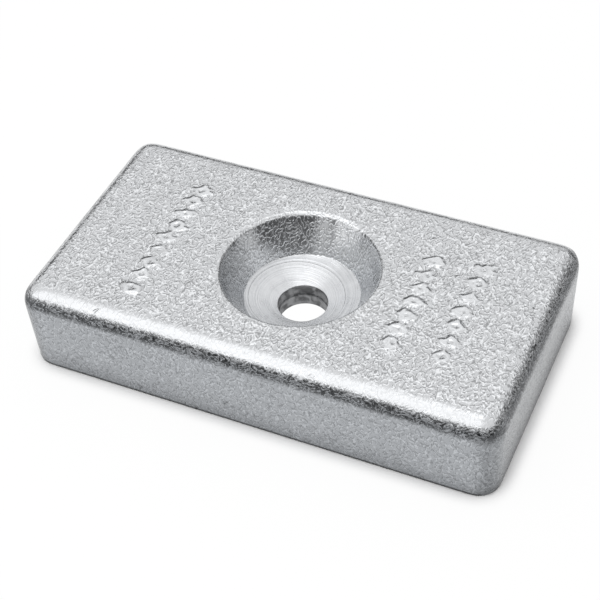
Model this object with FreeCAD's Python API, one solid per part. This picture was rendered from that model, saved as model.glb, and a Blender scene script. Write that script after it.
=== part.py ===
"""Cast zinc hull anode: a drafted block with a turned bolt recess through its middle.

Frame: origin at the middle of the underside, +X along the block, +Z up out of the bolt recess.
All sizes are in millimetres and degrees.
"""
import FreeCAD
import Part
import math
import os

# Outer form of the casting, with its length and width taken at the top face before rounding
block_length = 104.0
block_width = 56.0
block_height = 20.5
wall_draft = 1.5
edge_radius = 4.7
foot_edge_radius = 0.5

# Bolt recess in the top face: a cast cone that ends on a shallow turned seat
recess_mouth_radius = 16.8
recess_foot_radius = 12.1
recess_wall_depth = 8.4
mouth_edge_radius = 0.6
seat_slope = 20.0

# Bolt hole through the web under the seat
bolt_hole_radius = 5.25

# Round relief in the underside, round the bolt hole, that clears a boss or a nut
relief_radius = 12.5
relief_depth = 4.2
relief_draft = 5.0

# How far a cut runs past the face that it breaks through, and how level an edge must lie
overrun = 1.0
level_tolerance = 1e-4


def point(radius, height):
    """Return the point at a radius and a height in the XZ half plane."""
    return FreeCAD.Vector(radius, 0.0, height)


def edges_above(solid, height):
    """Return the edges that reach higher than a height."""
    return [edge for edge in solid.Edges if edge.BoundBox.ZMax > height]


def edges_at(solid, height):
    """Return the edges that lie wholly in the level plane at a height."""
    level = []
    for edge in solid.Edges:
        box = edge.BoundBox
        if max(abs(box.ZMin - height), abs(box.ZMax - height)) < level_tolerance:
            level.append(edge)
    return level


def turned(profile):
    """Return the solid that a closed profile sweeps in one turn round the axis."""
    face = Part.Face(Part.makePolygon(profile + [profile[0]]))
    return face.revolve(FreeCAD.Vector(0, 0, 0), FreeCAD.Vector(0, 0, 1), 360.0)


def make_block():
    """Return the rounded block, whose walls draw in towards the underside."""
    top_x = block_length / 2.0
    top_y = block_width / 2.0
    inset = block_height * math.tan(math.radians(wall_draft))
    foot_x = top_x - inset
    foot_y = top_y - inset
    # The wedge tapers along Y, so it is laid out there and then turned upright
    block = Part.makeWedge(
        -foot_x, 0.0, -foot_y, -top_y, -top_x, foot_x, block_height, foot_y, top_y, top_x
    )
    block.rotate(FreeCAD.Vector(0, 0, 0), FreeCAD.Vector(1, 0, 0), 90.0)
    block = block.makeFillet(edge_radius, edges_above(block, block_height / 2.0))
    return block.makeFillet(foot_edge_radius, edges_at(block, 0.0))


def make_recess():
    """Return the cast cone, the turned seat and the bolt hole as one turned cut."""
    wall_foot = block_height - recess_wall_depth
    seat_width = recess_foot_radius - bolt_hole_radius
    seat_drop = seat_width * math.tan(math.radians(seat_slope))
    flare = (recess_mouth_radius - recess_foot_radius) / recess_wall_depth
    return turned([
        point(0.0, -overrun),
        point(bolt_hole_radius, -overrun),
        point(bolt_hole_radius, wall_foot - seat_drop),
        point(recess_foot_radius, wall_foot),
        point(recess_mouth_radius + flare * overrun, block_height + overrun),
        point(0.0, block_height + overrun),
    ])


def make_relief():
    """Return the shallow drafted pocket of the underside as a turned cut."""
    taper = math.tan(math.radians(relief_draft))
    return turned([
        point(0.0, -overrun),
        point(relief_radius + taper * overrun, -overrun),
        point(relief_radius - taper * relief_depth, relief_depth),
        point(0.0, relief_depth),
    ])


def make_anode():
    """Return the finished casting."""
    block = make_block().cut(make_recess())
    mouth = [edge for edge in edges_at(block, block_height) if edge.isClosed()]
    block = block.makeFillet(mouth_edge_radius, mouth)
    return block.cut(make_relief())


def main():
    """Write the casting as one STEP file."""
    os.makedirs("parts", exist_ok=True)
    shape = make_anode()
    shape.exportStep(os.path.join("parts", "anode_block.step"))


main()
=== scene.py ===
"""Dressed model of a cast zinc hull anode: the casting's mesh, its finishes and a plain studio.

Lengths are metres, apart from the camera's focal length and sensor width in millimetres.
Angles are degrees. +Z is up out of the bolt recess, as in the frame.
"""
import logging
import math
from dataclasses import dataclass, field
from enum import Enum
from typing import Callable, Iterable, Optional, Sequence, Union

import bmesh
import bpy
from mathutils import Matrix, Vector, noise


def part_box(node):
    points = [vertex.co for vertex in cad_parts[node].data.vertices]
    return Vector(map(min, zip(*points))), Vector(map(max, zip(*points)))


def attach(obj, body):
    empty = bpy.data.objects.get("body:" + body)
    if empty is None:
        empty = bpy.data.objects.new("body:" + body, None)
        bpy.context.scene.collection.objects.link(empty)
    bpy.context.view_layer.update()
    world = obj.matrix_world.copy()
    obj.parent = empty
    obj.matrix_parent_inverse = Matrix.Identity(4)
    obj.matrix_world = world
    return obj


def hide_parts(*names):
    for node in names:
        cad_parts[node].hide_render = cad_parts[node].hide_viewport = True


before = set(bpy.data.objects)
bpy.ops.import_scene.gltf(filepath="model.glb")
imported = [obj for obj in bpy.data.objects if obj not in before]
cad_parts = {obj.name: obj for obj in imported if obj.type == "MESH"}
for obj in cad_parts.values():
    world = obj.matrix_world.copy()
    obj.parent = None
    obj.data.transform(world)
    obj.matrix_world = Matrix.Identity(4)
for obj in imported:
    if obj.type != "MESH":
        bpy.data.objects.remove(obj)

LOG = logging.getLogger("anode")
MM = 0.001
NODE = "anode_block"
RELIEF = "mark_relief"
LEVEL_TOLERANCE = 1e-6
STRAIGHT_SHARE = 0.95

Colour = tuple[float, float, float]
Triple = tuple[float, float, float]
Span = tuple[float, float]
Paint = Union[Colour, bpy.types.NodeSocket]
Number = Union["Signal", float]


class Pick(Enum):
    """The kinds of mesh element that edit mode selects."""

    VERT = "VERT"
    EDGE = "EDGE"
    FACE = "FACE"


class Coat(Enum):
    """The surfaces of the casting, in the order of its material slots."""

    CAST = 0
    TURNED = 1
    BORE = 2


class Signal:
    """A number in a shader. Python arithmetic on it adds Math nodes."""

    def __init__(self, graph: "ShaderGraph", socket: bpy.types.NodeSocket) -> None:
        """Wrap a socket.

        Args:
            graph: The graph that the socket belongs to.
            socket: The output socket that carries the number.
        """
        self.graph = graph
        self.socket = socket

    def _math(self, operation: str, first: Number, second: Number = 0.0) -> "Signal":
        """Add one Math node.

        Args:
            operation: The node's operation.
            first: The left operand.
            second: The right operand.

        Returns:
            The node's result.
        """
        return self.graph.number("ShaderNodeMath", {"operation": operation}, {0: first, 1: second})

    def __add__(self, other: Number) -> "Signal":
        """Return the sum."""
        return self._math("ADD", self, other)

    __radd__ = __add__

    def __sub__(self, other: Number) -> "Signal":
        """Return the difference."""
        return self._math("SUBTRACT", self, other)

    def __rsub__(self, other: Number) -> "Signal":
        """Return the difference with the operands the other way round."""
        return self._math("SUBTRACT", other, self)

    def __mul__(self, other: Number) -> "Signal":
        """Return the product."""
        return self._math("MULTIPLY", self, other)

    __rmul__ = __mul__

    def __pow__(self, other: Number) -> "Signal":
        """Return the power."""
        return self._math("POWER", self, other)

    def __abs__(self) -> "Signal":
        """Return the absolute value."""
        return self._math("ABSOLUTE", self)

    def larger(self, other: Number) -> "Signal":
        """Return the larger of two numbers."""
        return self._math("MAXIMUM", self, other)

    def step(self, low: float, high: float) -> "Signal":
        """Return 0 below low, 1 above high and a smooth rise between them.

        Args:
            low: Where the rise starts.
            high: Where the rise ends.

        Returns:
            The smoothed step.
        """
        settings = {"interpolation_type": "SMOOTHSTEP"}
        return self.graph.number("ShaderNodeMapRange", settings, {0: self, 1: low, 2: high})


def distance_from_axis(x: Signal, y: Signal) -> Signal:
    """Return how far a place lies from the upright axis of the recess."""
    return (x * x + y * y) ** 0.5


class ShaderGraph:
    """The node tree of one finish."""

    MIX_FACTOR = 0
    MIX_COLOURS = (6, 7)
    MIX_RESULT = 2
    NOISE_ROUGHNESS = 0.55
    ACROSS_GROOVES = 0.25

    def __init__(self, tree: bpy.types.NodeTree) -> None:
        """Empty a node tree and take it over.

        Args:
            tree: The tree of a material or a world.
        """
        tree.nodes.clear()
        self.tree = tree

    def node(
        self,
        kind: str,
        settings: Optional[dict] = None,
        inputs: Optional[dict] = None,
    ) -> bpy.types.Node:
        """Add one node.

        Args:
            kind: The node's type name.
            settings: Properties that are set before the sockets.
            inputs: A value, a signal or an output socket for each input, by name or number.

        Returns:
            The new node.
        """
        made = self.tree.nodes.new(kind)
        for name, value in (settings or {}).items():
            setattr(made, name, value)
        for key, value in (inputs or {}).items():
            socket = made.inputs[key]
            if isinstance(value, Signal):
                self.tree.links.new(value.socket, socket)
            elif isinstance(value, bpy.types.NodeSocket):
                self.tree.links.new(value, socket)
            else:
                socket.default_value = value
        return made

    def number(
        self,
        kind: str,
        settings: dict,
        inputs: dict,
        output: Union[int, str] = 0,
    ) -> Signal:
        """Add one node and return one of its outputs as a signal.

        Args:
            kind: The node's type name.
            settings: Properties that are set before the sockets.
            inputs: Values or links of the inputs.
            output: The output's name or number.

        Returns:
            The output.
        """
        return Signal(self, self.node(kind, settings, inputs).outputs[output])

    def place(self) -> bpy.types.NodeSocket:
        """Return the object coordinates."""
        return self.node("ShaderNodeTexCoord").outputs["Object"]

    def axes(self, place: bpy.types.NodeSocket) -> tuple[Signal, Signal, Signal]:
        """Return the parts of coordinates: along the block, across it and up."""
        outputs = self.node("ShaderNodeSeparateXYZ", {}, {"Vector": place}).outputs
        return Signal(self, outputs["X"]), Signal(self, outputs["Y"]), Signal(self, outputs["Z"])

    def moved(
        self,
        place: bpy.types.NodeSocket,
        shift: Triple = (0.0, 0.0, 0.0),
        stretch: Triple = (1.0, 1.0, 1.0),
    ) -> bpy.types.NodeSocket:
        """Return coordinates shifted and stretched.

        Args:
            place: The coordinates to change.
            shift: How far they move.
            stretch: The factor for each axis.

        Returns:
            The changed coordinates.
        """
        inputs = {"Vector": place, "Location": shift, "Scale": stretch}
        return self.node("ShaderNodeMapping", {"vector_type": "POINT"}, inputs).outputs["Vector"]

    def speckle(
        self,
        place: bpy.types.NodeSocket,
        size: float,
        detail: float = 2.0,
        distortion: float = 0.0,
    ) -> Signal:
        """Return noise from 0 to 1.

        Args:
            place: The coordinates that it follows.
            size: The width of one grain.
            detail: How many finer layers it has.
            distortion: How far it swirls.

        Returns:
            The noise.
        """
        inputs = {
            "Vector": place,
            "Scale": 1.0 / size,
            "Detail": detail,
            "Roughness": self.NOISE_ROUGHNESS,
            "Distortion": distortion,
        }
        return self.number("ShaderNodeTexNoise", {"noise_dimensions": "3D"}, inputs)

    def lines(
        self,
        place: bpy.types.NodeSocket,
        size: float,
        swirl: float,
        thinness: float,
    ) -> Signal:
        """Return thin winding lines that run where plain noise crosses its middle.

        Args:
            place: The coordinates that they follow.
            size: The width of one grain of the noise.
            swirl: How far the noise swirls.
            thinness: How steeply they fall off to each side.

        Returns:
            1 along the lines, falling off to each side, below 0 too.
        """
        waves = self.speckle(place, size, 0.0, swirl) * 2.0 - 1.0
        return 1.0 - abs(waves) * thinness

    def mix(self, factor: Signal, first: Paint, second: Paint) -> bpy.types.NodeSocket:
        """Return a blend of two colours.

        Args:
            factor: 0 for the first colour and 1 for the second.
            first: The first colour, or the socket that it comes from.
            second: The second colour, or the socket that it comes from.

        Returns:
            The blended colour's socket.
        """
        inputs = {self.MIX_FACTOR: factor}
        for slot, paint in zip(self.MIX_COLOURS, (first, second)):
            inputs[slot] = (*paint, 1.0) if isinstance(paint, tuple) else paint
        made = self.node("ShaderNodeMix", {"data_type": "RGBA"}, inputs)
        return made.outputs[self.MIX_RESULT]

    def tint(self, colour: bpy.types.NodeSocket, tone: Signal) -> bpy.types.NodeSocket:
        """Return a colour made darker or lighter.

        Args:
            colour: The colour to change.
            tone: 1 where it stays and 0 where it turns black.

        Returns:
            The changed colour's socket.
        """
        inputs = {0: colour, "Scale": tone}
        return self.node("ShaderNodeVectorMath", {"operation": "SCALE"}, inputs).outputs[0]

    def bump(
        self,
        height: Signal,
        depth: float,
        over: Optional[bpy.types.NodeSocket] = None,
    ) -> bpy.types.NodeSocket:
        """Return a normal that a height field tilts.

        Args:
            height: The field, from 0 to 1.
            depth: How high 1 stands over 0.
            over: A normal that this one is added to.

        Returns:
            The normal's socket.
        """
        inputs = {"Height": height, "Distance": depth}
        if over is not None:
            inputs["Normal"] = over
        return self.node("ShaderNodeBump", {}, inputs).outputs["Normal"]

    def metal(
        self,
        colour: bpy.types.NodeSocket,
        roughness: Signal,
        normal: bpy.types.NodeSocket,
        grooves: float = 0.0,
    ) -> None:
        """Finish the graph with a metal surface.

        Args:
            colour: The colour that it reflects.
            roughness: How far it scatters.
            normal: Its bumped normal.
            grooves: How much wider it scatters across grooves round the axis than along them.
        """
        inputs = {
            "Base Color": colour,
            "Metallic": 1.0,
            "Roughness": roughness,
            "Normal": normal,
            "Anisotropic": grooves,
            "Anisotropic Rotation": self.ACROSS_GROOVES,
        }
        surface = self.node("ShaderNodeBsdfPrincipled", {}, inputs)
        self.node("ShaderNodeOutputMaterial", {}, {"Surface": surface.outputs["BSDF"]})


def new_graph(name: str) -> tuple[bpy.types.Material, ShaderGraph]:
    """Make an empty material.

    Args:
        name: The material's name.

    Returns:
        The material and the graph of its nodes.
    """
    material = bpy.data.materials.new(name)
    material.use_nodes = True
    return material, ShaderGraph(material.node_tree)


@dataclass(frozen=True)
class Band:
    """A level band of a wall, darkened with painted shade."""

    tone: float
    heights: tuple[float, float, float, float]

    def over(self, height: Signal) -> Signal:
        """Return how much tone the band takes away at a height.

        Args:
            height: The height above the underside.

        Returns:
            0 outside the band and 1 less its tone inside.
        """
        low, rise, fall, high = self.heights
        return height.step(low, rise) * (1.0 - height.step(fall, high)) * (1.0 - self.tone)


@dataclass(frozen=True)
class CastSkin:
    """Zinc as it leaves the mould: covered in fine curled wrinkles, with a few pits.

    The wrinkles are bumped, and their light is painted as well: each shows as a thin pale curl,
    a painted highlight, with a dull crease of painted shade on one side. They are fainter on
    the walls, and both fainter and shallower in the recess, along the long top edges and on the
    raised marks. The walls are duller than the top, as painted shade, and bluer; the painted
    shade is strongest at the foot and along the shoulder, where long ripples break up the dark
    band with painted highlights.
    """

    bright: Colour = (0.602, 0.612, 0.625)
    dull: Colour = (0.588, 0.598, 0.610)
    # Wall colour: darker than the top as painted shade, and bluer.
    wall: Colour = (0.390, 0.405, 0.424)
    # Painted highlight along the wrinkle curls and painted shade along the creases beside them.
    curl_highlight: float = 0.46
    crease_shade: float = 0.45
    pit_tone: float = 0.40
    # Raised marks: painted highlight on the crests and painted shade on the flanks.
    crest_highlight: float = 0.19
    crest: Span = (0.35, 0.70)
    flank_shade: float = 0.05
    flank_rise: Span = (0.02, 0.3)
    flank_fall: Span = (0.45, 0.8)
    mark_relief: float = 0.21 * MM
    mark_top: Span = (0.15, 0.55)
    mark_calm: float = 0.75
    wall_top: Span = (17.5 * MM, 19.2 * MM)
    # Shoulder bands: painted shade, a dark reflection band painted along the upper walls.
    side_shoulder_shade: Band = Band(0.19, (15.8 * MM, 17.3 * MM, 18.2 * MM, 19.2 * MM))
    end_shoulder_shade: Band = Band(0.34, (14.9 * MM, 17.3 * MM, 18.5 * MM, 19.3 * MM))
    # End walls: painted shade, darker below their top and more so at the foot.
    end_foot_shade: Band = Band(0.74, (-1.0 * MM, -0.5 * MM, 0.3 * MM, 3.2 * MM))
    end_wall_shade: float = 0.69
    end_start: Span = (46.0 * MM, 50.0 * MM)
    # Painted shade: all walls darken towards the foot.
    foot_shade: float = 0.80
    foot_shade_top: float = 9.0 * MM
    # A thin dark line round the foot: painted contact shade where the block meets the floor.
    contact_shade_tone: float = 0.14
    contact_shade_height: Span = (0.40 * MM, 1.0 * MM)
    contact_shade_reach: Span = (50.75 * MM, 26.75 * MM)
    contact_shade_fade: float = 0.3 * MM
    fillet_start: Span = (23.0 * MM, 24.7 * MM)
    fillet_foot: Span = (18.5 * MM, 19.3 * MM)
    fillet_calm: float = 0.85
    fillet_flatness: float = 0.5
    ripple_size: float = 0.72 * MM
    ripple_stretch: Triple = (0.55, 0.55, 0.85)
    ripple_swirl: float = 1.5
    ripple_thinness: float = 3.0
    ripple_depth: float = 0.12 * MM
    # Ripple crests lift the painted dark shoulder: painted highlights.
    ripple_highlight: float = 0.66
    recess_edge: Span = (17.0 * MM, 18.5 * MM)
    recess_floor: Span = (5.0 * MM, 7.0 * MM)
    recess_calm: float = 0.25
    wall_calm: float = 0.26
    wrinkle_size: float = 0.75 * MM
    wrinkle_stretch: Triple = (1.0, 0.74, 0.74)
    wrinkle_shift: Triple = (0.05 * MM, -0.19 * MM, -0.19 * MM)
    wrinkle_swirl: float = 0.45
    wrinkle_thinness: float = 4.9
    wrinkle_edge: float = 0.85
    wrinkle_depth: float = 0.033 * MM
    recess_wrinkle: float = 0.68
    break_size: float = 0.75 * MM
    break_steps: Span = (0.29, 0.42)
    grain_size: float = 0.28 * MM
    grain_tone: float = 0.06
    grain_depth: float = 0.006 * MM
    pit_size: float = 3.4 * MM
    pit_swirl: float = 0.4
    pit_steps: Span = (0.745, 0.79)
    pit_depth: float = 0.12 * MM
    patch_size: float = 9.0 * MM
    patch_steps: Span = (0.35, 0.65)
    crease_roughness: float = 0.08
    roughness: Span = (0.17, 0.25)

    def material(self) -> bpy.types.Material:
        """Set the finish up.

        Returns:
            The material.
        """
        made, graph = new_graph("cast_zinc_skin")
        place = graph.place()
        x, y, height = graph.axes(place)
        flow = graph.moved(place, stretch=self.wrinkle_stretch)
        curls = self._curls(graph, flow)
        # The creases are the curls moved a little aside, so each painted highlight has painted
        # shade on one side.
        shaded_creases = self._curls(graph, graph.moved(flow, self.wrinkle_shift))
        grain = graph.speckle(place, self.grain_size, detail=1.0) - 0.5
        pits = graph.speckle(place, self.pit_size, detail=1.0, distortion=self.pit_swirl)
        pits = pits.step(*self.pit_steps)
        patches = graph.speckle(place, self.patch_size, detail=3.0).step(*self.patch_steps)

        outside = distance_from_axis(x, y).step(*self.recess_edge)
        outside = outside.larger(1.0 - height.step(*self.recess_floor))
        walls = outside * (1.0 - height.step(*self.wall_top))
        fillet = abs(y).step(*self.fillet_start) * height.step(*self.fillet_foot)
        ripples = self._ripples(graph, place) * outside
        relief = graph.number("ShaderNodeAttribute", {"attribute_name": RELIEF}, {}, "Fac")
        plain_skin = 1.0 - relief.step(*self.mark_top) * self.mark_calm

        calm = (1.0 - fillet * self.fillet_calm) * (1.0 - walls * self.wall_calm)
        calm = calm * (outside * self.recess_calm + 1.0 - self.recess_calm) * plain_skin
        # Painted highlight on the curls, painted shade on the creases; the pits are darker.
        detail = curls * self.curl_highlight - shaded_creases * self.crease_shade - pits * self.pit_tone
        # Adds the painted highlight and shade of the raised marks.
        tone = 1.0 + (detail + grain * self.grain_tone) * calm + self._mark_light_and_shade(relief)
        tone = tone * (1.0 - outside * (1.0 - self._painted_wall_shade(x, height, ripples)))
        # Painted contact shade: a thin dark line round the foot of the walls.
        line = self._rim(x, y, self.contact_shade_reach, self.contact_shade_fade)
        line = line * (1.0 - height.step(*self.contact_shade_height))
        tone = tone * (1.0 - line * (1.0 - self.contact_shade_tone))
        colour = graph.mix(patches, self.bright, self.dull)
        # The walls take the darker wall colour: painted shade.
        colour = graph.tint(graph.mix(walls, colour, self.wall), tone)

        smooth, rough = self.roughness
        roughness = patches * (rough - smooth) + smooth + shaded_creases * self.crease_roughness
        strength = outside * (1.0 - self.recess_wrinkle) + self.recess_wrinkle
        strength = strength * (1.0 - fillet * self.fillet_flatness) * plain_skin
        shoulder = self.side_shoulder_shade.over(height)
        normal = graph.bump(curls * strength, self.wrinkle_depth)
        normal = graph.bump(ripples * shoulder, self.ripple_depth, normal)
        normal = graph.bump(grain, self.grain_depth, normal)
        normal = graph.bump(1.0 - pits, self.pit_depth, normal)
        normal = graph.bump(relief, self.mark_relief, normal)
        graph.metal(colour, roughness, normal)
        return made

    def _curls(self, graph: ShaderGraph, flow: bpy.types.NodeSocket) -> Signal:
        """Return the broken curls that run over the skin.

        Args:
            graph: The graph to add to.
            flow: The stretched coordinates that the curls follow.

        Returns:
            1 along the curls and 0 between them.
        """
        lines = graph.lines(flow, self.wrinkle_size, self.wrinkle_swirl, self.wrinkle_thinness)
        broken = graph.speckle(flow, self.break_size, detail=0.0).step(*self.break_steps)
        return lines.step(0.0, self.wrinkle_edge) * broken

    def _ripples(self, graph: ShaderGraph, place: bpy.types.NodeSocket) -> Signal:
        """Return the long ripples that break up the shoulder.

        Args:
            graph: The graph to add to.
            place: The object coordinates.

        Returns:
            1 along the ripples' crests and 0 between them.
        """
        flow = graph.moved(place, stretch=self.ripple_stretch)
        lines = graph.lines(flow, self.ripple_size, self.ripple_swirl, self.ripple_thinness)
        return lines.step(0.0, 1.0)

    def _rim(self, x: Signal, y: Signal, start: Span, fade: float) -> Signal:
        """Return 1 past a start along either axis, seen from above, and 0 short of both."""
        end, side = start
        return abs(x).step(end, end + fade).larger(abs(y).step(side, side + fade))

    def _mark_light_and_shade(self, relief: Signal) -> Signal:
        """Return painted highlight on the marks' crests less painted shade on their flanks."""
        flank = relief.step(*self.flank_rise) * (1.0 - relief.step(*self.flank_fall))
        return relief.step(*self.crest) * self.crest_highlight - flank * self.flank_shade

    def _painted_wall_shade(self, x: Signal, height: Signal, ripples: Signal) -> Signal:
        """Return the painted shade of the outer walls from the foot up.

        Args:
            x: The place along the block.
            height: The height above the underside.
            ripples: 1 along the crests, painted highlights that keep the painted dark shoulder
                pale.

        Returns:
            1 where the walls keep their colour, and less where shade is painted: along the
            shoulder, at the foot and on the end walls.
        """
        ends = abs(x).step(*self.end_start)
        side, end = self.side_shoulder_shade.over(height), self.end_shoulder_shade.over(height)
        foot = 1.0 - height.step(0.0, self.foot_shade_top)
        # The shoulder's painted shade, broken by the ripples' painted highlights.
        shoulder = (side * (1.0 - ends) + end * ends) * (1.0 - ripples * self.ripple_highlight)
        tone = 1.0 - shoulder
        # The end walls are darker as painted shade, most of all at the foot.
        tone = tone * (1.0 - ends * (1.0 - height.step(*self.wall_top)) * (1.0 - self.end_wall_shade))
        tone = tone * (1.0 - ends * self.end_foot_shade.over(height))
        # All walls darken towards the foot: painted shade.
        return tone * (1.0 - foot * (1.0 - self.foot_shade))


@dataclass(frozen=True)
class TurnedFace:
    """The seat of the recess, cut on a lathe in two passes, with fine rings.

    The inner pass runs round a centre a little to one side, and its edge shows as a thin line.
    The rings scatter light more widely across themselves than along.
    """

    bright: Colour = (0.75, 0.76, 0.775)
    dull: Colour = (0.50, 0.51, 0.525)
    ring_pitch: float = 0.24 * MM
    ring_depth: float = 0.10 * MM
    ring_tone: float = 0.5
    ring_detail: float = 2.0
    sweep_pitch: float = 0.8 * MM
    sweep_depth: float = 0.045 * MM
    sweep_tone: float = 0.35
    inner_sweep: float = 0.5
    centre: float = -1.3 * MM
    pass_radius: float = 10.1 * MM
    pass_edge: float = 0.06 * MM
    pass_tone: float = 0.16
    pass_step: float = 1.5
    smear_size: float = 2.5 * MM
    smear_tone: float = 0.60
    tone_offset: float = 0.38
    roughness: Span = (0.20, 0.32)
    grooves: float = 0.6

    def material(self) -> bpy.types.Material:
        """Set the finish up.

        Returns:
            The material.
        """
        made, graph = new_graph("turned_zinc")
        place = graph.place()
        x, y, _ = graph.axes(place)
        radius = distance_from_axis(x - self.centre, y)
        outside = radius.step(self.pass_radius - self.pass_edge, self.pass_radius + self.pass_edge)
        fine = self._rings(graph, radius, self.ring_pitch)
        broad = self._rings(graph, radius, self.sweep_pitch)
        smears = graph.speckle(place, self.smear_size)
        shade = broad * self.sweep_tone + fine * self.ring_tone + smears * self.smear_tone
        shade = shade + outside * self.pass_tone - self.tone_offset
        colour = graph.mix(shade, self.bright, self.dull)
        smooth, rough = self.roughness
        roughness = smears * (rough - smooth) + smooth
        sweeps = broad * (outside + self.inner_sweep) + outside * self.pass_step
        normal = graph.bump(fine, self.ring_depth)
        normal = graph.bump(sweeps, self.sweep_depth, normal)
        graph.metal(colour, roughness, normal, self.grooves)
        return made

    def _rings(self, graph: ShaderGraph, radius: Signal, pitch: float) -> Signal:
        """Return the height, from 0 to 1, of uneven grooves round the axis."""
        inputs = {"W": radius, "Scale": 1.0 / pitch, "Detail": self.ring_detail}
        return graph.number("ShaderNodeTexNoise", {"noise_dimensions": "1D"}, inputs)


@dataclass(frozen=True)
class BoreWall:
    """The wall of the bolt hole: as cast and rough, its colour darkened as painted shade inside
    the hole.
    """

    # Both colours are kept dark as painted shade inside the hole; the scale between them is the
    # wall's own uneven tone.
    bright: Colour = (0.36, 0.365, 0.374)
    dull: Colour = (0.12, 0.122, 0.126)
    scale_size: float = 1.8 * MM
    scale_swirl: float = 0.5
    scale_steps: Span = (0.35, 0.65)
    scale_depth: float = 0.20 * MM
    roughness: Span = (0.42, 0.6)

    def material(self) -> bpy.types.Material:
        """Set the finish up.

        Returns:
            The material.
        """
        made, graph = new_graph("cast_bore_wall")
        scale = graph.speckle(graph.place(), self.scale_size, 3.0, self.scale_swirl)
        colour = graph.mix(scale.step(*self.scale_steps), self.dull, self.bright)
        smooth, rough = self.roughness
        roughness = scale * (rough - smooth) + smooth
        graph.metal(colour, roughness, graph.bump(scale, self.scale_depth))
        return made


def clamp(value: float) -> float:
    """Return a value kept within 0 and 1."""
    return min(max(value, 0.0), 1.0)


def select_only(piece: bpy.types.Object) -> None:
    """Select one object alone and make it the active one.

    Args:
        piece: The object.
    """
    bpy.ops.object.select_all(action="DESELECT")
    piece.select_set(True)
    bpy.context.view_layer.objects.active = piece


class EditSession:
    """Edit mode on one mesh, with elements picked by their place."""

    def __init__(self, piece: bpy.types.Object) -> None:
        """Keep the piece.

        Args:
            piece: The mesh object to edit.
        """
        self.piece = piece

    def __enter__(self) -> "EditSession":
        """Enter edit mode with nothing selected.

        Returns:
            The session.
        """
        select_only(self.piece)
        bpy.ops.object.mode_set(mode="EDIT")
        bpy.ops.mesh.select_all(action="DESELECT")
        return self

    def __exit__(self, *_: object) -> None:
        """Leave edit mode."""
        bpy.ops.object.mode_set(mode="OBJECT")

    def pick(self, kind: Pick, test: Callable[[object], bool]) -> int:
        """Select only the elements that pass a test.

        Args:
            kind: Which elements to look at.
            test: Tells whether an element is wanted.

        Returns:
            How many are selected.
        """
        bpy.ops.mesh.select_mode(type=kind.value)
        bpy.ops.mesh.select_all(action="DESELECT")
        mesh = bmesh.from_edit_mesh(self.piece.data)
        elements = {Pick.VERT: mesh.verts, Pick.EDGE: mesh.edges, Pick.FACE: mesh.faces}[kind]
        wanted = [element for element in elements if test(element)]
        for element in wanted:
            element.select_set(True)
        mesh.select_flush_mode()
        bmesh.update_edit_mesh(self.piece.data)
        return len(wanted)


def edge_height(edge: bmesh.types.BMEdge) -> float:
    """Return the height of an edge's higher end."""
    return max(vert.co.z for vert in edge.verts)


def at_height(place: Vector, height: float) -> bool:
    """Tell whether a place lies in the level plane at a height."""
    return abs(place.z - height) < LEVEL_TOLERANCE


def level_edge(edge: bmesh.types.BMEdge, height: float) -> bool:
    """Tell whether an edge lies in the level plane at a height."""
    return all(at_height(vert.co, height) for vert in edge.verts)


def runs_along(edge: bmesh.types.BMEdge, axis: int, shortest: float) -> bool:
    """Tell whether an edge runs along an axis and is longer than a length."""
    span = edge.verts[1].co - edge.verts[0].co
    return span.length > shortest and abs(span[axis]) > STRAIGHT_SHARE * span.length


@dataclass(frozen=True)
class Ring:
    """One circle of the turned profile."""

    radius: float
    height: float
    crisp: bool = False


@dataclass(frozen=True)
class Wear:
    """One layer of noise that makes the raised marks uneven."""

    layer: float
    size: float
    depth: float

    def at(self, x: float, y: float) -> float:
        """Return how much the layer adds at a place."""
        return noise.noise(Vector((x, y, self.layer)) / self.size) * self.depth


@dataclass(frozen=True)
class MarkRow:
    """A straight row of raised lozenges on the top face, along Y.

    Each lozenge is worn and uneven, with slightly rounded sides and a hollow in its middle.
    """

    FINE_WANDER = Wear(0.0, 1.3 * MM, 0.30)
    BROAD_WANDER = Wear(9.0, 2.6 * MM, 0.34)
    WORN = Wear(5.0, 5.0 * MM, 0.6)
    WORN_MEAN = 0.75
    WORN_LEAST = 0.25
    SIDE_POWER = 1.15
    OUTER_EDGE = 1.15
    FLANK = 0.45
    MIDDLE_HEIGHT = 0.30

    across: float
    start: float
    end: float
    count: int
    width: float

    def weight(self, x: float, y: float) -> float:
        """Return how much of the full height the row has at a place.

        Args:
            x: The place along the block.
            y: The place across the block.

        Returns:
            0 off the marks, 1 on their tops.
        """
        pitch = (self.end - self.start) / self.count
        if not self.start < y < self.end:
            return 0.0
        along = ((y - self.start) / pitch) % 1.0
        aside = abs(x - self.across) / (self.width / 2.0)
        power = self.SIDE_POWER
        wander = self.FINE_WANDER.at(x, y) + self.BROAD_WANDER.at(x, y)
        ring = (abs(2.0 * along - 1.0) ** power + aside**power) ** (1.0 / power) + wander
        rise = self.MIDDLE_HEIGHT + (1.0 - self.MIDDLE_HEIGHT) * clamp(ring / self.FLANK)
        fall = clamp((self.OUTER_EDGE - ring) / self.FLANK)
        worn = self.WORN_MEAN + self.WORN.at(x, y)
        return rise * fall * min(max(worn, self.WORN_LEAST), 1.0)

    def covers(self, x: float, y: float, margin: float) -> bool:
        """Tell whether a place lies on the row or within a margin of it."""
        beside = abs(x - self.across) < self.width / 2.0 + margin
        return beside and self.start - margin < y < self.end + margin


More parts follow.
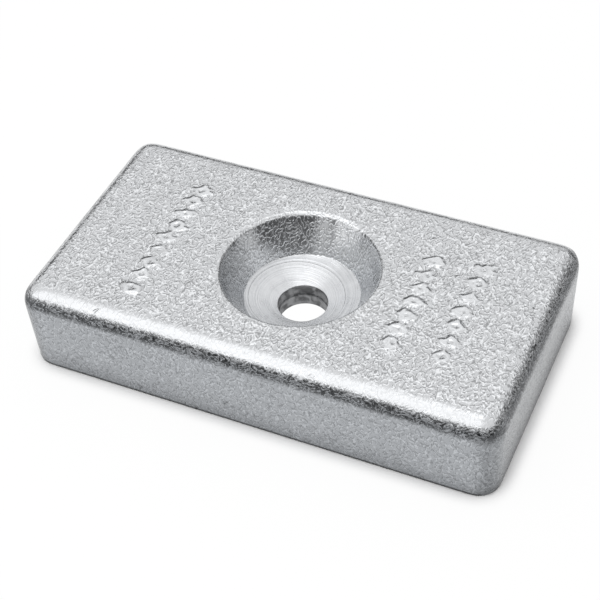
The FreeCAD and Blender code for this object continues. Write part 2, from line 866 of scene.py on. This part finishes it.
@dataclass
class CastBlock:
    """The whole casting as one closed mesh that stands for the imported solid."""

    wall_draft: float = 1.5
    edge_radius: float = 4.7 * MM
    foot_radius: float = 0.4 * MM
    mark_height: float = 0.22 * MM
    mouth_radius: float = 16.8 * MM
    cone_foot_radius: float = 12.1 * MM
    cone_depth: float = 8.4 * MM
    seat_slope: float = 20.0
    bore_radius: float = 5.25 * MM
    relief_radius: float = 12.5 * MM
    relief_depth: float = 4.2 * MM
    relief_draft: float = 5.0
    relief_border: float = 1.6 * MM
    mouth_rings: Sequence[Span] = (
        (18.3 * MM, 0.0),
        (17.55 * MM, 0.0),
        (17.10 * MM, 0.05 * MM),
        (16.75 * MM, 0.22 * MM),
    )
    cone_depths: Sequence[float] = (0.85 * MM, 1.4 * MM, 3.2 * MM, 5.6 * MM, 7.9 * MM)
    seat_radii: Sequence[float] = (11.75 * MM, 10.2 * MM, 8.6 * MM, 6.6 * MM, 5.45 * MM)
    waist_height: float = 0.45 * MM
    waist_depth: float = 0.16 * MM
    cells: tuple[int, int, int] = (40, 20, 6)
    opening: int = 18
    rounding: int = 5
    foot_rounding: int = 2
    bridge_cuts: int = 2
    mark_cuts: int = 2
    mark_margin: float = 0.6 * MM
    smoothing: int = 2
    smooth_angle: float = 48.0
    surface_margin: float = 0.05 * MM
    foot_calm: Span = (0.2 * MM, 1.0 * MM)
    unevenness: Sequence[tuple[str, float, float]] = (
        ("lumps", 7.0 * MM, 0.08 * MM),
        ("ripples", 1.7 * MM, 0.02 * MM),
    )
    rows: Sequence[MarkRow] = (
        MarkRow(-29.6 * MM, -19.8 * MM, 16.1 * MM, 9, 5.0 * MM),
        MarkRow(25.1 * MM, -15.3 * MM, 12.7 * MM, 7, 4.8 * MM),
        MarkRow(35.3 * MM, -15.3 * MM, 14.2 * MM, 7, 4.8 * MM),
    )
    size: Vector = field(init=False)
    top: float = field(init=False)
    piece: bpy.types.Object = field(init=False)

    def __post_init__(self) -> None:
        """Take the outer size from the frame."""
        low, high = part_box(NODE)
        self.size = Vector(high) - Vector(low)
        self.top = self.size.z - self.mark_height

    def build(self) -> bpy.types.Object:
        """Model and dress the casting.

        Returns:
            The finished piece.
        """
        self.piece = self._rounded_block()
        self._cut_cells()
        self._open_faces()
        self._add_turning()
        self._refine_marks()
        self._smooth()
        self._assign_coats()
        self._raise_marks()
        self._roughen()
        self._shade()
        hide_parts(NODE)
        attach(self.piece, "root")
        return self.piece

    def _corner_size(self) -> Vector:
        """Work out the sharp block that the rounding starts from.

        Returns:
            Its size at the top.
        """
        slope = math.radians(self.wall_draft)
        hidden = self.edge_radius * (1.0 - (1.0 + math.sin(slope)) / math.cos(slope))
        return Vector((self.size.x - 2.0 * hidden, self.size.y - 2.0 * hidden, self.top))

    def _rounded_block(self) -> bpy.types.Object:
        """Make the drafted block, with its upper edges, corners and foot rounded.

        Returns:
            The block.
        """
        sharp = self._corner_size()
        inset = 2.0 * self.top * math.tan(math.radians(self.wall_draft))
        bpy.ops.object.select_all(action="DESELECT")
        bpy.ops.mesh.primitive_cube_add(size=1.0, location=(0.0, 0.0, sharp.z / 2.0))
        piece = bpy.context.active_object
        piece.name = "cast_block"
        piece.scale = sharp
        bpy.ops.object.transform_apply(location=True, rotation=True, scale=True)
        with EditSession(piece) as edit:
            edit.pick(Pick.VERT, lambda vert: vert.co.z < sharp.z / 2.0)
            draw = (1.0 - inset / sharp.x, 1.0 - inset / sharp.y, 1.0)
            bpy.ops.transform.resize(value=draw, center_override=(0.0, 0.0, 0.0))
            edit.pick(Pick.EDGE, lambda edge: edge_height(edge) > sharp.z / 2.0)
            self._bevel(self.edge_radius, self.rounding)
            edit.pick(Pick.EDGE, lambda edge: level_edge(edge, 0.0))
            self._bevel(self.foot_radius, self.foot_rounding)
        return piece

    def _bevel(self, radius: float, segments: int) -> None:
        """Round the selected edges.

        Args:
            radius: The radius of the rounding.
            segments: How many faces it has.
        """
        bpy.ops.mesh.bevel(
            offset_type="OFFSET",
            offset=radius,
            segments=segments,
            profile=0.5,
            affect="EDGES",
            clamp_overlap=False,
        )

    def _cut_cells(self) -> None:
        """Divide the flat faces into even cells."""
        with EditSession(self.piece) as edit:
            for axis, count in enumerate(self.cells):
                shortest = 0.5 * (self.size.x, self.size.y, self.top)[axis]
                edit.pick(Pick.EDGE, lambda edge: runs_along(edge, axis, shortest))
                bpy.ops.mesh.subdivide(number_cuts=count - 1)

    def _open_faces(self) -> None:
        """Take out the middle of the top and of the underside."""
        for height in (0.0, self.top):
            places = (vert.co for vert in self.piece.data.vertices)
            level = [place for place in places if at_height(place, height)]
            reach_x = max(place.x for place in level) * self.opening / self.cells[0]
            reach_y = max(place.y for place in level) * self.opening / self.cells[1]

            def inside(face: bmesh.types.BMFace) -> bool:
                """Tell whether a face lies in the opening at this height.

                Args:
                    face: The face.

                Returns:
                    Whether it does.
                """
                middle = face.calc_center_median()
                near = abs(middle.x) < reach_x and abs(middle.y) < reach_y
                return near and at_height(middle, height)

            with EditSession(self.piece) as edit:
                count = edit.pick(Pick.FACE, inside)
                LOG.info("opening at %.4f m over %d cells", height, count)
                bpy.ops.mesh.delete(type="FACE")

    def _profile(self) -> list[Ring]:
        """List the turned profile, from the top face down to the underside.

        Returns:
            Its rings in order.
        """
        foot = self.size.z - self.cone_depth
        flare = (self.mouth_radius - self.cone_foot_radius) / self.cone_depth
        fall = math.tan(math.radians(self.seat_slope))
        draw = self.relief_depth * math.tan(math.radians(self.relief_draft))

        def cone(depth: float) -> Ring:
            """Return the ring of the cone at a depth under the full height."""
            height = self.size.z - depth
            return Ring(self.cone_foot_radius + (height - foot) * flare, height)

        def seat(radius: float) -> Ring:
            """Return the ring of the seat at a radius."""
            return Ring(radius, foot - (self.cone_foot_radius - radius) * fall)

        rim = seat(self.bore_radius).height
        middle = (rim + self.relief_depth) / 2.0
        return [
            *(Ring(radius, self.top - drop) for radius, drop in self.mouth_rings),
            *(cone(depth) for depth in self.cone_depths),
            Ring(self.cone_foot_radius, foot, True),
            *(seat(radius) for radius in self.seat_radii),
            Ring(self.bore_radius, rim, True),
            Ring(self.bore_radius, middle + self.waist_height),
            Ring(self.bore_radius - self.waist_depth, middle),
            Ring(self.bore_radius, middle - self.waist_height),
            Ring(self.bore_radius, self.relief_depth, True),
            Ring(self.relief_radius - draw, self.relief_depth, True),
            Ring(self.relief_radius, 0.0, True),
            Ring(self.relief_radius + self.relief_border, 0.0),
        ]

    def _add_turning(self) -> None:
        """Draw the turned profile ring by ring and join it to the block."""
        rings = self._profile()
        first = rings[0]
        bpy.ops.object.select_all(action="DESELECT")
        bpy.ops.mesh.primitive_circle_add(
            vertices=4 * self.opening,
            radius=first.radius,
            location=(0.0, 0.0, first.height),
            fill_type="NOTHING",
        )
        turning = bpy.context.active_object
        bpy.ops.object.transform_apply(location=True, rotation=True, scale=True)
        with EditSession(turning):
            bpy.ops.mesh.select_all(action="SELECT")
            for before, ring in zip(rings, rings[1:]):
                self._draw_ring(before, ring)
        select_only(self.piece)
        turning.select_set(True)
        bpy.ops.object.join()
        self._bridge(self.top)
        self._bridge(0.0)

    def _draw_ring(self, before: Ring, ring: Ring) -> None:
        """Extrude the selected circle to the next one.

        Args:
            before: The circle that is selected.
            ring: The circle to draw.
        """
        move = (0.0, 0.0, ring.height - before.height)
        bpy.ops.mesh.extrude_edges_move(TRANSFORM_OT_translate={"value": move})
        scale = ring.radius / before.radius
        centre = (0.0, 0.0, ring.height)
        bpy.ops.transform.resize(value=(scale, scale, 1.0), center_override=centre)
        if ring.crisp:
            bpy.ops.transform.edge_crease(value=1.0)

    def _bridge(self, height: float) -> None:
        """Fill the flat face between its square opening and the outer circle.

        Args:
            height: The height of the face.
        """
        with EditSession(self.piece) as edit:
            count = edit.pick(
                Pick.EDGE, lambda edge: edge.is_boundary and level_edge(edge, height)
            )
            LOG.info("bridge at %.4f m over %d edges", height, count)
            bpy.ops.mesh.bridge_edge_loops(number_cuts=self.bridge_cuts, interpolation="LINEAR")
            bpy.ops.mesh.select_all(action="SELECT")
            bpy.ops.mesh.normals_make_consistent(inside=False)

    def _refine_marks(self) -> None:
        """Give the ground under the marks smaller cells."""

        def under_mark(face: bmesh.types.BMFace) -> bool:
            """Tell whether a face of the top lies under a row.

            Args:
                face: The face.

            Returns:
                Whether it does.
            """
            middle = face.calc_center_median()
            covered = (row.covers(middle.x, middle.y, self.mark_margin) for row in self.rows)
            return at_height(middle, self.top) and any(covered)

        with EditSession(self.piece) as edit:
            edit.pick(Pick.FACE, under_mark)
            bpy.ops.mesh.subdivide(number_cuts=self.mark_cuts)

    def _smooth(self) -> None:
        """Round the cells off into an even, fine mesh."""
        smoothing = self.piece.modifiers.new("even_mesh", "SUBSURF")
        smoothing.levels = self.smoothing
        smoothing.render_levels = self.smoothing
        self._apply(smoothing)

    def _apply(self, modifier: bpy.types.Modifier) -> None:
        """Apply a modifier of the piece."""
        select_only(self.piece)
        bpy.ops.object.modifier_apply(modifier=modifier.name)

    def _coat_at(self, place: Vector) -> Coat:
        """Find the surface that a place on the mesh belongs to.

        Args:
            place: The place.

        Returns:
            The surface.
        """
        radius = math.hypot(place.x, place.y)
        foot = self.size.z - self.cone_depth
        if radius < self.bore_radius + self.surface_margin and place.z < foot:
            return Coat.BORE
        if radius < self.cone_foot_radius and self.relief_depth + MM < place.z < foot:
            return Coat.TURNED
        return Coat.CAST

    def _assign_coats(self) -> None:
        """Give each surface its finish."""
        for finish in (CastSkin(), TurnedFace(), BoreWall()):
            self.piece.data.materials.append(finish.material())
        with EditSession(self.piece) as edit:
            for coat in (Coat.TURNED, Coat.BORE):
                edit.pick(Pick.FACE, lambda face: self._coat_at(face.calc_center_median()) is coat)
                self.piece.active_material_index = coat.value
                bpy.ops.object.material_slot_assign()

    def _paint(self, name: str, weigh: Callable[[Vector], float]) -> bpy.types.VertexGroup:
        """Paint a vertex group.

        Args:
            name: The group's name.
            weigh: Gives the weight at a place.

        Returns:
            The new group.
        """
        group = self.piece.vertex_groups.new(name=name)
        for vert in self.piece.data.vertices:
            weight = weigh(vert.co)
            if weight > 0.0:
                group.add([vert.index], weight, "REPLACE")
        return group

    def _raise_marks(self) -> None:
        """Raise the rows of lozenges from the top face."""

        def weigh(place: Vector) -> float:
            """Weigh the marks at a place.

            Args:
                place: The place.

            Returns:
                Their height there, from 0 to 1.
            """
            if place.z < self.top - self.surface_margin:
                return 0.0
            return max(row.weight(place.x, place.y) for row in self.rows)

        group = self._paint("raised_marks", weigh)
        relief = self.piece.data.attributes.new(RELIEF, "FLOAT", "POINT")
        for vert in self.piece.data.vertices:
            relief.data[vert.index].value = weigh(vert.co)
        rise = self.piece.modifiers.new("raised_marks", "DISPLACE")
        rise.direction = "Z"
        rise.strength = self.mark_height
        rise.mid_level = 0.0
        rise.vertex_group = group.name
        self._apply(rise)

    def _roughen(self) -> None:
        """Sink the cast surfaces unevenly, never outwards."""

        def weigh(place: Vector) -> float:
            """Weigh the unevenness at a place.

            Args:
                place: The place.

            Returns:
                1 on the cast surfaces and 0 on the turned ones and at the foot.
            """
            if self._coat_at(place) is Coat.TURNED:
                return 0.0
            start, reach = self.foot_calm
            return clamp((place.z - start) / reach)

        group = self._paint("cast_surface", weigh)
        for name, size, depth in self.unevenness:
            pattern = bpy.data.textures.new(f"casting_{name}", "CLOUDS")
            pattern.noise_scale = size
            pattern.noise_depth = 2
            sink = self.piece.modifiers.new(name, "DISPLACE")
            sink.texture = pattern
            sink.texture_coords = "LOCAL"
            sink.mid_level = 1.0
            sink.strength = depth
            sink.vertex_group = group.name
            self._apply(sink)

    def _shade(self) -> None:
        """Shade the mesh smooth, with its true edges kept."""
        select_only(self.piece)
        bpy.ops.object.shade_smooth_by_angle(angle=math.radians(self.smooth_angle))


@dataclass(frozen=True)
class SoftBox:
    """A square lamp that faces the block."""

    name: str
    side: float
    place: Triple
    radiance: float

    def hang(self) -> bpy.types.Object:
        """Hang the lamp, turned towards the block.

        Returns:
            The lamp.
        """
        data = bpy.data.lights.new(self.name, "AREA")
        data.shape = "SQUARE"
        data.size = self.side
        data.energy = self.radiance * math.pi * self.side**2
        lamp = bpy.data.objects.new(self.name, data)
        bpy.context.scene.collection.objects.link(lamp)
        lamp.location = self.place
        lamp.visible_camera = False
        lamp.rotation_euler = Vector(self.place).to_track_quat("Z", "Y").to_euler()
        return lamp


@dataclass
class Studio:
    """The floor, the lamps, the surrounding light and the camera."""

    floor_side: float = 8.0
    floor_drop: float = 0.02 * MM
    floor_colour: Colour = (0.98, 0.98, 0.98)
    floor_fill: float = 0.94
    mirror_reach: Span = (0.14, 0.30)
    shade_reach: float = 4.0 * MM
    shade_samples: int = 16
    shade_steps: Span = (0.50, 0.98)
    # Reach of the painted light on the floor under the bolt hole.
    hole_glow_reach: Span = (9.0 * MM, 11.0 * MM)
    surround: Colour = (0.10, 0.10, 0.102)
    lamps: Sequence[SoftBox] = (
        SoftBox("wide_soft_box", 1.7, (-0.04, 0.05, 0.42), 0.95),
        SoftBox("inner_soft_box", 0.42, (-0.12, -0.20, 0.37), 0.60),
        SoftBox("left_soft_box", 0.42, (-0.48, -0.46, 0.18), 1.20),
        SoftBox("front_soft_box", 0.22, (-0.113, -0.640, 0.14), 0.7),
        SoftBox("right_soft_box", 0.30, (0.66, 0.11, 0.10), 0.6),
        SoftBox("far_right_soft_box", 0.34, (0.80, 0.72, 0.38), 0.40),
        SoftBox("overhead_soft_box", 0.14, (0.0, 0.035, 0.40), 0.8),
    )
    azimuth: float = 27.159
    elevation: float = 44.775
    roll: float = -4.337
    distance: float = 314.1 * MM
    aim: Span = (-0.538 * MM, 7.53 * MM)
    focal_length: float = 88.353
    sensor_width: float = 36.0
    nearest: float = 0.01

    def build(self) -> None:
        """Set up the studio."""
        self._lay_floor()
        self._fill_surround()
        for lamp in self.lamps:
            lamp.hang()
        self._place_camera()
        bpy.context.scene.view_settings.view_transform = "Standard"

    def _lay_floor(self) -> None:
        """Lay the pale floor.

        The camera sees it nearly white, with a soft shade close to the block. Mirrored rays see
        that only near the block, and the lit paint farther out. Under the bolt hole it glows
        fully white, a painted light that takes out the block's shadow there.
        """
        bpy.ops.object.select_all(action="DESELECT")
        place = (0.0, 0.0, -self.floor_drop)
        bpy.ops.mesh.primitive_plane_add(size=self.floor_side, location=place)
        floor = bpy.context.active_object
        floor.name = "studio_floor"
        made, graph = new_graph("studio_floor")
        paint = graph.node("ShaderNodeBsdfDiffuse", {}, {"Color": (*self.floor_colour, 1.0)})
        glow = graph.node("ShaderNodeEmission", {}, {"Color": (1.0, 1.0, 1.0, 1.0)})
        rays = graph.node("ShaderNodeLightPath").outputs
        glossy = Signal(graph, rays["Is Glossy Ray"])
        mirrored = glossy + Signal(graph, rays["Is Transmission Ray"])
        x, y, _ = graph.axes(graph.place())
        radius = distance_from_axis(x, y)
        seen = Signal(graph, rays["Is Camera Ray"])
        seen = seen + mirrored * (1.0 - radius.step(*self.mirror_reach))
        # Painted light: the floor under the bolt hole glows fully white, with no shadow of the
        # block.
        glow_under_hole = 1.0 - radius.step(*self.hole_glow_reach)
        shaded = {"Distance": self.shade_reach}
        settings = {"samples": self.shade_samples}
        open_air = graph.number("ShaderNodeAmbientOcclusion", settings, shaded, "AO")
        fill = open_air.step(*self.shade_steps) * self.floor_fill
        fill = glow_under_hole + (1.0 - glow_under_hole) * fill
        inputs = {0: seen * fill, 1: paint.outputs["BSDF"], 2: glow.outputs["Emission"]}
        mixed = graph.node("ShaderNodeMixShader", {}, inputs)
        graph.node("ShaderNodeOutputMaterial", {}, {"Surface": mixed.outputs["Shader"]})
        floor.data.materials.append(made)

    def _fill_surround(self) -> None:
        """Fill the space round the studio with dim even light."""
        world = bpy.data.worlds.new("studio_surround")
        world.use_nodes = True
        bpy.context.scene.world = world
        graph = ShaderGraph(world.node_tree)
        light = graph.node("ShaderNodeBackground", {}, {"Color": (*self.surround, 1.0)})
        graph.node("ShaderNodeOutputWorld", {}, {"Surface": light.outputs["Background"]})

    def _place_camera(self) -> None:
        """Place the camera where the photograph was taken from."""
        turn, lift, roll = (math.radians(v) for v in (self.azimuth, self.elevation, self.roll))
        back = Vector(
            (
                math.sin(turn) * math.cos(lift),
                -math.cos(turn) * math.cos(lift),
                math.sin(lift),
            )
        )
        right = (-back).cross(Vector((0.0, 0.0, 1.0))).normalized()
        up = right.cross(-back)
        place = self.aim[0] * right + self.aim[1] * up + self.distance * back
        rolled_right = math.cos(roll) * right + math.sin(roll) * up
        rolled_up = math.cos(roll) * up - math.sin(roll) * right
        data = bpy.data.cameras.new("studio_camera")
        data.lens = self.focal_length
        data.sensor_width = self.sensor_width
        data.clip_start = self.nearest
        camera = bpy.data.objects.new("studio_camera", data)
        bpy.context.scene.collection.objects.link(camera)
        axes = Matrix((rolled_right, rolled_up, back)).transposed()
        camera.matrix_world = Matrix.Translation(place) @ axes.to_4x4()
        bpy.context.scene.camera = camera


def main() -> None:
    """Build the casting and the studio."""
    logging.basicConfig(level=logging.INFO, format="%(name)s: %(message)s")
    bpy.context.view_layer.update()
    piece = CastBlock().build()
    LOG.info("%s has %d faces", piece.name, len(piece.data.polygons))
    Studio().build()
    LOG.info("studio is set")


if __name__ == "__main__":
    main()
